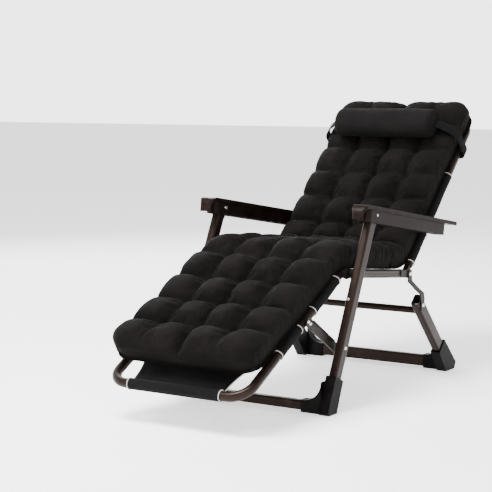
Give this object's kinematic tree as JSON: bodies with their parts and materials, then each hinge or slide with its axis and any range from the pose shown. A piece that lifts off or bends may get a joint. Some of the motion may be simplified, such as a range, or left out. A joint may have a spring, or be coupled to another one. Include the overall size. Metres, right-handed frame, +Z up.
{
  "type": "zero gravity recliner",
  "caption": "Folding padded lounge chair with linked back, seat and footrest, plastic armrests, quilted cushion, sliding head pillow and splayed tubular legs.",
  "frame": {"origin": "on the floor, under the middle of the chair's box", "axes": "+Z up, the chair faces -Y, +X is the sitter's left"},
  "size_m": [0.639, 1.5905, 0.9581],
  "materials": {
    "frame_tube": "satin",
    "fitting_steel": "satin",
    "foot_plastic": "satin",
    "armrest_plastic": "gloss",
    "hub_plastic": "matte",
    "hardware": "satin",
    "cushion_fabric": "soft brushed weave",
    "pillow_fabric": "soft brushed weave",
    "sling_fabric": "mesh weave",
    "strap_webbing": "ribbed webbing"
  },
  "bodies": {
    "rear_frame": {"rear_leg_left": "frame_tube", "rear_leg_right": "frame_tube", "rear_ground_bar": "frame_tube", "rear_cross_bar": "frame_tube", "rear_foot_left": "foot_plastic", "rear_foot_right": "foot_plastic"},
    "seat_frame": {"seat_rail_left": "frame_tube", "seat_rail_right": "frame_tube", "knee_hinge_plates": "fitting_steel", "back_hinge_plates": "fitting_steel", "knee_hinge_bolts": "hardware", "back_hinge_bolts": "hardware", "knee_hubs": "hub_plastic", "seat_pivot_spacers": "hub_plastic", "rear_link_left": "fitting_steel", "rear_link_right": "fitting_steel", "rear_pivot_bolts": "hardware", "seat_sling": "sling_fabric", "seat_cushion": "cushion_fabric"},
    "front_frame": {"front_leg_left": "frame_tube", "front_leg_right": "frame_tube", "front_ground_bar": "frame_tube", "front_foot_left": "foot_plastic", "front_foot_right": "foot_plastic", "seat_pivot_pins": "hardware", "strut_pivot_pins": "hardware", "front_leg_rivets": "hardware"},
    "back_frame": {"back_rail_left": "frame_tube", "back_rail_right": "frame_tube", "back_top_tube": "frame_tube", "back_hinge_eyes": "fitting_steel", "armrest_lock_pins": "hardware", "back_sling": "sling_fabric", "back_cushion": "cushion_fabric"},
    "headrest": {"head_pillow": "pillow_fabric", "pillow_strap": "strap_webbing"},
    "footrest_frame": {"footrest_rail_left": "frame_tube", "footrest_rail_right": "frame_tube", "footrest_front_tube": "frame_tube", "footrest_eyes": "fitting_steel", "footrest_sling": "sling_fabric", "footrest_front_panel": "sling_fabric", "footrest_cushion": "cushion_fabric"},
    "struts": {"footrest_strut_left": "fitting_steel", "footrest_strut_right": "fitting_steel", "strut_bolts": "hardware"},
    "armrests": {"armrest_cap_left": "armrest_plastic", "armrest_cap_right": "armrest_plastic", "armrest_skirt_left": "armrest_plastic", "armrest_skirt_right": "armrest_plastic", "armrest_pivot_bolts": "hardware"}
  },
  "joints": [
    {"name": "front_leg_fold", "type": "hinge", "parent": "seat_frame", "child": "front_frame", "pos_m": [0, -0.18475, 0.4166], "axis": [1, 0, 0], "range_deg": [-25, 80]},
    {"name": "seat_tilt", "type": "hinge", "parent": "rear_frame", "child": "seat_frame", "pos_m": [0, 0.25505, 0.2643], "axis": [1, 0, 0], "range_deg": [-28, 9]},
    {"name": "back_recline", "type": "hinge", "parent": "seat_frame", "child": "back_frame", "pos_m": [0, 0.24025, 0.371], "axis": [1, 0, 0], "range_deg": [-25.5, 80.5]},
    {"name": "footrest_raise", "type": "hinge", "parent": "seat_frame", "child": "footrest_frame", "pos_m": [0, -0.21675, 0.42], "axis": [1, 0, 0], "range_deg": [-25.5, 80.5]},
    {"name": "armrest_tilt", "type": "hinge", "parent": "front_frame", "child": "armrests", "pos_m": [0, -0.09725, 0.6], "axis": [1, 0, 0], "range_deg": [-68.5, 21.5]},
    {"name": "strut_swing", "type": "hinge", "parent": "front_frame", "child": "struts", "pos_m": [0, -0.28975, 0.196], "axis": [1, 0, 0], "range_deg": [-12.5, 4]},
    {"name": "pillow_slide", "type": "slide", "parent": "back_frame", "child": "headrest", "axis": [0, -0.7229, -0.6909], "range_m": [0, 0.14]}
  ],
  "couplings": [
    {"joint": "seat_tilt", "follows": "front_leg_fold", "ratio": -0.34},
    {"joint": "back_recline", "follows": "front_leg_fold", "ratio": 1},
    {"joint": "footrest_raise", "follows": "front_leg_fold", "ratio": 1},
    {"joint": "armrest_tilt", "follows": "front_leg_fold", "ratio": -0.85},
    {"joint": "strut_swing", "follows": "front_leg_fold", "ratio": -0.15}
  ]
}
